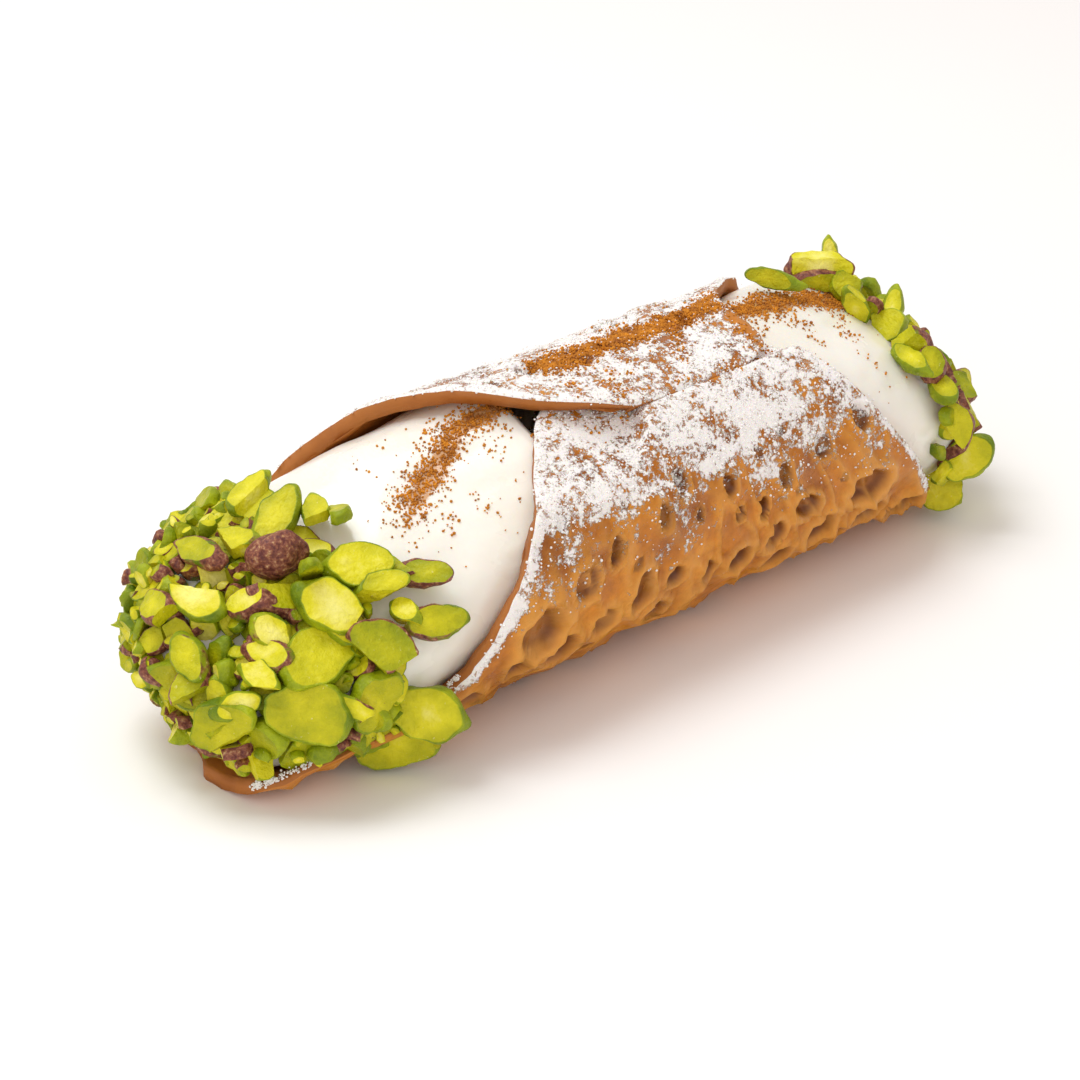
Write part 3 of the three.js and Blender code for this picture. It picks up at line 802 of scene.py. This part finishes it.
nutMaterial = makeNutMaterial()
near = newNutMesh()
for index, (x, turn, spin, tip, length, width, thick, lift, tone, skinTone) in enumerate(mainSlices):
    piece = makeNut(length, width, thick, 100 + index, bend=dice.uniform(-0.1, 0.3), rings=4,
                    crossCuts=(1, 0, 2)[index % 3])
    addNut(near, piece, nutMatrix(x, turn, spin, tip, lift), tone, skinTone)
kernel = makeNut(9.2, 5.6, 4.6, 77, slab=False, rings=4, crossCuts=0)
addNut(near, kernel, nutMatrix(-51, -2, 160, 188, 4.6), 0.2, 1.4)
addFacing(near, lipSlices, 803)
nearPiece = finishPiece(near, "pistachioSlices", nutMaterial)
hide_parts(*[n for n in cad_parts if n.startswith("pistachio_slice_") and "far" not in n],
            "pistachio_whole_kernel")

bits, nearSpots = newNutMesh(), openSpots(-1, nuts["nearFrom"])
print("near pieces", scatterNuts(bits, nearSpots, "near", 41, 3), scatterNuts(bits, nearSpots, "bit", 42, 2))
bitsPiece = finishPiece(bits, "pistachioBits", nutMaterial)
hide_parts("pistachio_coat_near")

farBm, farSpots = newNutMesh(), openSpots(1, nuts["farFrom"])
print("far pieces", scatterNuts(farBm, farSpots, "far", 43, 3))
addFacing(farBm, farSlices, 700)
farPiece = finishPiece(farBm, "pistachioFar", nutMaterial)
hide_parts("pistachio_coat_far", *[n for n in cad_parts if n.startswith("pistachio_slice_far")])
print("pistachio ready")

# ---- icing sugar and cinnamon grains ----
powder = {"sugarGrains": 9500, "lipGrains": 700, "cinnamonGrains": 6000, "creamCinnamon": 7500}


def sprinkle(spots, weights, count, low, high, seed):
    # joins many small rough grains, each half sunk in the surface
    rng = random.Random(seed)
    bm, one = bmesh.new(), bmesh.new()
    bmesh.ops.create_icosphere(one, subdivisions=1, radius=1.0)
    grain = bpy.data.meshes.new("grain")
    one.to_mesh(grain)
    one.free()
    chosen = rng.choices(spots, weights=weights, k=count)
    for spot in chosen:
        centre, normal = spot[0], spot[1]
        size = rng.uniform(low, high) * rng.uniform(0.6, 1.0) * mm
        jitter = Vector((rng.gauss(0, 1), rng.gauss(0, 1), rng.gauss(0, 1))) * (0.6 * math.sqrt(spot[2]))
        jitter -= normal * jitter.dot(normal)
        matrix = (Matrix.Translation(centre + jitter + normal * size * 0.4)
                  @ Matrix.Rotation(rng.uniform(0, 6.28), 4, Vector((rng.random(), rng.random(), rng.random() + 0.01)))
                  @ Matrix.Diagonal((size, size * rng.uniform(0.6, 1), size * rng.uniform(0.5, 1), 1)))
        grain.transform(matrix)
        bm.from_mesh(grain)
        grain.transform(matrix.inverted())
    bpy.data.meshes.remove(grain)
    return bm


def powderMaterial(name, dark, light, roughness):
    material, tree, shader = newMaterial(name)
    tone = noiseNode(tree, objectCoords(tree), 700.0, 3.0)
    tree.links.new(ramp(tree, tone, [(0.3, dark), (0.7, light)]), shader.inputs["Base Color"])
    tree.links.new(mapRange(tree, tone, 0.3, 0.7, roughness - 0.1, roughness), shader.inputs["Roughness"])
    return material


sugarMaterial = powderMaterial("icingSugarGrain", (0.86, 0.83, 0.8), (0.95, 0.93, 0.91), 0.95)
spiceMaterial = powderMaterial("groundCinnamon", (0.30, 0.085, 0.003), (0.75, 0.29, 0.012), 0.9)
grains = sprinkle(doughSpots, [s[2] * max(s[3] - 0.15, 0) ** 1.6 for s in doughSpots],
                  powder["sugarGrains"], 0.09, 0.28, 5)
lipSpots = []
for step in range(60):
    s = mix(18, 33, step / 59)
    x = roll["seamX"] - halfLength(s, -1)
    r, angle = radiusAt(x) - 1.3, s / roll["radius"]
    lipSpots.append((place(x, -r * math.sin(angle), -r * math.cos(angle)), Vector((-0.9, 0, 0.43)), 2e-7))
lipGrains = sprinkle(lipSpots, [0.4 + abs(wobble(i, 0, 0, 7.0)) * 4 for i in range(60)], powder["lipGrains"], 0.1, 0.3, 8)
finishPiece(grains, "icingSugar", sugarMaterial)
finishPiece(lipGrains, "icingSugarOnLip", sugarMaterial)
spice = sprinkle(doughSpots, [s[2] * s[4] ** 1.5 for s in doughSpots], powder["cinnamonGrains"], 0.12, 0.34, 6)
finishPiece(spice, "cinnamonOnDough", spiceMaterial)
spice = sprinkle(creamSpots, [s[2] * s[3] ** 1.2 for s in creamSpots], powder["creamCinnamon"], 0.12, 0.34, 7)
finishPiece(spice, "cinnamonOnCream", spiceMaterial)
print("sugar and cinnamon ready")
